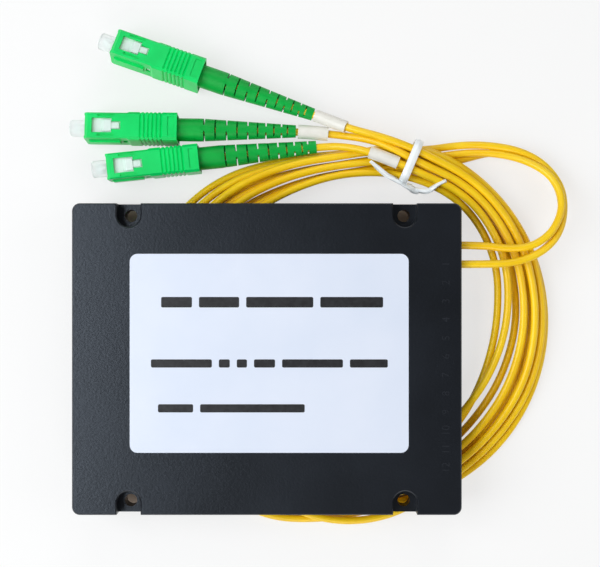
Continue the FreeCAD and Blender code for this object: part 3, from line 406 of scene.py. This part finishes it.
def smooth_path(points, steps=8):
    """Evenly eased path (Catmull-Rom) through the points."""
    ends = [points[0] * 2 - points[1]] + list(points) + [points[-1] * 2 - points[-2]]
    path = []
    for p0, p1, p2, p3 in zip(ends, ends[1:], ends[2:], ends[3:]):
        for i in range(steps):
            t = i / steps
            path.append(0.5 * ((2 * p1) + (p2 - p0) * t + (2 * p0 - 5 * p1 + 4 * p2 - p3) * t**2
                               + (3 * p1 - p0 - 3 * p2 + p3) * t**3))
    return path + [points[-1]]


# ---- Twist tie ---------------------------------------------------------------
STRAP_WIDTH = 2.25
STRAP_THICKNESS = 0.8
# the strip where its two ends are wound round each other
WIRE_WIDTH = 1.35
WIRE_THICKNESS = 0.9
WINDING_RADIUS = 0.42
# the loop round the cords: distances from the coil's centre, and heights
STRAP_INNER = 45.4
STRAP_OUTER = 56.1
STRAP_LOW = -10.2
STRAP_HIGH = -1.6
# radius of the strap's corners: outer high, inner high, inner low, outer low
STRAP_CORNERS = [3.0, 2.2, 1.4, 1.4]
CORNER_STEPS = 6
# half turns of the strip along each of its free ends
END_TWIST = 1.5
# middle line of the wound part, and the free ends beyond it
TWIST = [(36.3, 45.2, -4.3), (38.2, 44.4, -4.6), (39.8, 43.6, -4.6)]
TIE_ENDS = [[(34.0, 46.5, -3.5), (31.2, 48.0, -3.3), (28.9, 49.9, -3.2), (27.0, 51.6, -3.0)],
            [(42.0, 43.7, -3.8), (44.8, 45.5, -2.9), (46.9, 46.4, -2.6)]]


def strap_profile(width, thickness):
    """Flat coated strip with the wire's swelling along its middle."""
    half, edge = width / 2, thickness * 0.3
    upper = [(half, 0.0), (half * 0.92, edge), (half * 0.45, edge * 0.9), (half * 0.22, thickness / 2),
             (-half * 0.22, thickness / 2), (-half * 0.45, edge * 0.9), (-half * 0.92, edge)]
    return [(u * MM, v * MM) for u, v in upper + [(-u, -v) for u, v in upper]]


def twist_tie():
    """Coated strip in a loop round the coil, with its two ends wound together and spread."""
    bm = bmesh.new()
    bearing = math.radians(TIE_ANGLE)
    up = Vector((0, 0, 1))
    outward = Vector((math.cos(bearing), math.sin(bearing), 0))
    round_coil = Vector((-math.sin(bearing), math.cos(bearing), 0))
    middle = Vector((COIL_CENTRE[0], COIL_CENTRE[1], 0)) + outward * (STRAP_INNER + STRAP_OUTER) / 2
    level = (STRAP_LOW + STRAP_HIGH) / 2
    reach = STRAP_OUTER - STRAP_INNER + STRAP_THICKNESS
    height = STRAP_HIGH - STRAP_LOW + STRAP_THICKNESS
    radii = [radius + STRAP_THICKNESS / 2 for radius in STRAP_CORNERS]
    outline = rounded_outline(reach, height, radii, CORNER_STEPS)
    loop = [(middle + outward * u + Vector((0, 0, level + v))) * MM for u, v in outline]
    sweep(bm, loop, [round_coil] * len(loop), strap_profile(STRAP_WIDTH, STRAP_THICKNESS), closed=True)
    profile = strap_profile(WIRE_WIDTH, WIRE_THICKNESS)
    for end, direction in zip(TIE_ENDS, (-1, 1)):
        core = smooth_path([Vector(p) for p in TWIST[::direction]])
        along = (core[-1] - core[0]).normalized()
        side = along.cross(up)
        wound = []
        for i, point in enumerate(core):
            turn = math.pi * (0.5 + i / (len(core) - 1)) * direction
            wound.append(point + (side * math.cos(turn) + up * math.sin(turn)) * WINDING_RADIUS)
        path = [p * MM for p in smooth_path(wound[::6] + [Vector(p) for p in end], 6)]
        across = []
        for i in range(len(path)):
            turn = math.pi * END_TWIST * i / (len(path) - 1)
            across.append(side * math.cos(turn) + up * math.sin(turn))
        sweep(bm, path, across, profile)
    tie = mesh_object("twist_tie", bm, tie_white)
    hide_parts("wire_tie")
    return tie


# ---- Pigtails ----------------------------------------------------------------
ON_PIGTAIL = ("marker_sleeve", "outer_housing", "plug_frame", "ferrule", "ferrule_flange", "backpost",
              "crimp_ring", "boot", "dust_cap")


def live_spring(number):
    """Copy of the ferrule's spring, put in place of the CAD's spring, which is hidden."""
    node = "ferrule_spring_%d" % number
    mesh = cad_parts[node].data.copy()
    spring = link(bpy.data.objects.new("live_spring_%d" % number, mesh))
    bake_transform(spring)
    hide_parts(node)
    return spring


tie = twist_tie()
steps = round((COIL_END - COIL_START) / COIL_STEP)
for number, (exit_place, lead, tail) in enumerate(PIGTAILS, 1):
    coil = [coil_point(SLOTS[number - 1], COIL_START + COIL_STEP * i) for i in range(steps + 1)]
    points = [Vector(p) * MM for p in lead + coil + tail]
    points.append(connector_frame(number) @ Vector((CORD_END, 0, 0)))
    cord = cord_object("pigtail_%d" % number, points)
    cord.data.materials.append(jacket)
    # the first cord also stands for the CAD's coil, which is hidden
    coil_node = ["cable_coil"] if number == 1 else []
    tied = [tie] if number == 1 else []
    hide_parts("cable_lead_%d" % number, "cable_tail_%d" % number, *coil_node)
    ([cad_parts["%s_%d" % (name, number)] for name in ON_PIGTAIL]
            + [live_spring(number)] + tied)


# ---- Print on the label: plain bars in place of its words ---------------------
LABEL_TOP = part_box("label")[1].z
LABEL_CENTRE = centre("label")
# how far the ink stands above the label, and goes into it, in m
INK = 0.00002
# for each line: its y on the label, the bars' height, its left end and the bars' widths
PRINT_ROWS = [
    (13.1, 2.7, -27.7, (7.9, 10.3, 17.2, 16.1)),
    (-2.6, 2.1, -30.3, (15.6, 2.8, 2.6, 5.4, 15.6, 9.7)),
    (-14.1, 2.1, -28.5, (9.0, 26.8)),
]
BAR_GAP = 1.8
BAR_CORNERS = [0.4] * 4


def print_bars():
    """Thin dark bars with round corners, one for each word."""
    bm = bmesh.new()
    for y, height, x, widths in PRINT_ROWS:
        for width in widths:
            centre_x = x + width / 2
            outline = [((centre_x + u) * MM + LABEL_CENTRE.x, (y + v) * MM + LABEL_CENTRE.y)
                       for u, v in rounded_outline(width, height, BAR_CORNERS)]
            upper = [bm.verts.new((*place, LABEL_TOP + INK)) for place in outline]
            lower = [bm.verts.new((*place, LABEL_TOP - INK)) for place in outline]
            bm.faces.new(upper)
            bm.faces.new(lower[::-1])
            for i in range(len(outline)):
                bm.faces.new((upper[i - 1], upper[i], lower[i], lower[i - 1]))
            x += width + BAR_GAP
    return mesh_object("label_print", bm, label_ink, smooth=False)


print_bars()

# ---- Moulded port numbers ----------------------------------------------------
COVER_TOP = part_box("case_cover")[1].z
PORT_COUNT = 12
# the CAD's exits, in mm
FIRST_OUTPUT_Y = 24.4
OUTPUT_PITCH = 4.74
# the numerals, in mm
NUMBER_X = 46.0
NUMBER_SIZE = 2.8
NUMBER_HEIGHT = 0.09


def raised_number(text, y):
    """Low raised numeral on the cover beside its exit."""
    curve = bpy.data.curves.new("number_" + text, "FONT")
    curve.body = text
    curve.size = NUMBER_SIZE * MM
    curve.extrude = NUMBER_HEIGHT * MM
    curve.align_x = "CENTER"
    curve.align_y = "CENTER"
    curve.resolution_u = 3
    letters = bpy.data.objects.new("number_" + text, curve)
    scene.collection.objects.link(letters)
    bpy.context.view_layer.update()
    evaluated = letters.evaluated_get(bpy.context.evaluated_depsgraph_get())
    mesh = bpy.data.meshes.new_from_object(evaluated)
    bpy.data.objects.remove(letters)
    turn = Matrix.Rotation(math.radians(90), 4, "Z")
    mesh.transform(Matrix.Translation((NUMBER_X * MM, y * MM, COVER_TOP)) @ turn)
    mesh.materials.clear()
    mesh.materials.append(number_grey)
    return link(bpy.data.objects.new("port_number_" + text, mesh), ROOT)


for i in range(PORT_COUNT):
    raised_number(str(i + 1), FIRST_OUTPUT_Y - i * OUTPUT_PITCH)

# ---- Stage -------------------------------------------------------------------
# brightness of the ground in the picture, and how much of the real shadow it takes
PALE = 0.947
SHADOW_SHARE = 0.3
# along X and along Y, the distances from the case's middle in mm where the painted shade under it starts and
# ends to fade
PAINTED_SHADE_ENDS = [(42.0, 51.0), (39.4, 41.2)]
# colour of the painted shade: a dark patch on the ground under the case, where its shadow falls
PAINTED_SHADE_COLOUR = (0.29, 0.23, 0.185, 1)
WORLD_STRENGTH = 0.10
WARM_WHITE = (1.0, 0.98, 0.95)
# in m
FLOOR_HALF = 3
FLOOR_GAP = 0.0001
LAMP_SIZE = 0.5


def calculated(material, operation, *values):
    """Output of a math node whose inputs are sockets or plain numbers."""
    node = material.node_tree.nodes.new("ShaderNodeMath")
    node.operation = operation
    for socket, value in zip(node.inputs, values):
        if isinstance(value, float):
            socket.default_value = value
        else:
            material.node_tree.links.new(value, socket)
    return node.outputs[0]


def mixed(material, share, first, second):
    """Output of a shader mix."""
    node = material.node_tree.nodes.new("ShaderNodeMixShader")
    for socket, value in zip(node.inputs, (share, first, second)):
        material.node_tree.links.new(value, socket)
    return node.outputs[0]


def painted_shade_mask(material):
    """Mask of the painted shade: 1 on the ground under the case, easing to 0 at its edges."""
    nodes, links = material.node_tree.nodes, material.node_tree.links
    place = nodes.new("ShaderNodeSeparateXYZ")
    links.new(nodes.new("ShaderNodeTexCoord").outputs["Object"], place.inputs[0])
    fades = []
    for distance, (start, end) in zip(place.outputs, PAINTED_SHADE_ENDS):
        fade = nodes.new("ShaderNodeMapRange")
        fade.interpolation_type = "SMOOTHSTEP"
        fade.inputs["From Min"].default_value = start * MM
        fade.inputs["From Max"].default_value = end * MM
        fade.inputs["To Min"].default_value = 1.0
        fade.inputs["To Max"].default_value = 0.0
        links.new(calculated(material, "ABSOLUTE", distance), fade.inputs["Value"])
        fades.append(fade.outputs[0])
    return calculated(material, "MULTIPLY", *fades)


def pale_ground():
    """White card, even in the picture and in reflections.

    It takes a light shadow of the object, and has a soft painted shade under the case, a dark colour mixed in
    where the case's shadow falls.
    """
    material = surface("ground", (0.93, 0.93, 0.93), (0.94, 0.94, 0.94), 5, 0.9)
    nodes, links = material.node_tree.nodes, material.node_tree.links
    rays = nodes.new("ShaderNodeLightPath").outputs
    seen = calculated(material, "ADD", rays["Is Camera Ray"], rays["Is Glossy Ray"])
    seen = calculated(material, "ADD", seen, rays["Is Transmission Ray"])
    glow = nodes.new("ShaderNodeEmission")
    glow.inputs["Color"].default_value = (PALE, PALE, PALE, 1)
    share = calculated(material, "MULTIPLY", seen, 1.0 - SHADOW_SHARE)
    card = mixed(material, share, nodes["Principled BSDF"].outputs[0], glow.outputs[0])
    # painted shade: a dark diffuse colour that the mask mixes into the ground under the case
    shade = nodes.new("ShaderNodeBsdfDiffuse")
    shade.inputs["Color"].default_value = PAINTED_SHADE_COLOUR
    ground = mixed(material, painted_shade_mask(material), card, shade.outputs[0])
    links.new(ground, nodes["Material Output"].inputs["Surface"])
    return material


floor_mesh = bpy.data.meshes.new("floor")
corners = [(-FLOOR_HALF, -FLOOR_HALF, 0), (FLOOR_HALF, -FLOOR_HALF, 0),
           (FLOOR_HALF, FLOOR_HALF, 0), (-FLOOR_HALF, FLOOR_HALF, 0)]
floor_mesh.from_pydata(corners, [], [(0, 1, 2, 3)])
floor = link(bpy.data.objects.new("floor", floor_mesh))
floor.location.z = cad_low.z - FLOOR_GAP
floor.data.materials.append(pale_ground())

world = bpy.data.worlds.new("world")
scene.world = world
world.use_nodes = True
sky = world.node_tree.nodes["Background"]
sky.inputs["Color"].default_value = (1, 1, 1, 1)
sky.inputs["Strength"].default_value = WORLD_STRENGTH

# place in m, power in W and colour of each soft lamp; all are turned to the object
LAMPS = [
    ("window", (-0.38, 0.0, 0.46), 3.5, (0.93, 0.97, 1.0)),
    ("fill_right", (0.62, 0.05, 0.42), 1.2, WARM_WHITE),
    ("fill_front", (0.0, -0.62, 0.42), 2.2, WARM_WHITE),
    ("fill_back", (0.05, 0.65, 0.42), 1.4, WARM_WHITE),
]
for name, place, power, colour in LAMPS:
    lamp = bpy.data.objects.new(name, bpy.data.lights.new(name, "AREA"))
    lamp.data.size = LAMP_SIZE
    lamp.data.energy = power
    lamp.data.color = colour
    lamp.location = place
    lamp.rotation_euler = (-Vector(place)).to_track_quat("-Z", "Y").to_euler()
    link(lamp)

scene.view_settings.view_transform = "Standard"
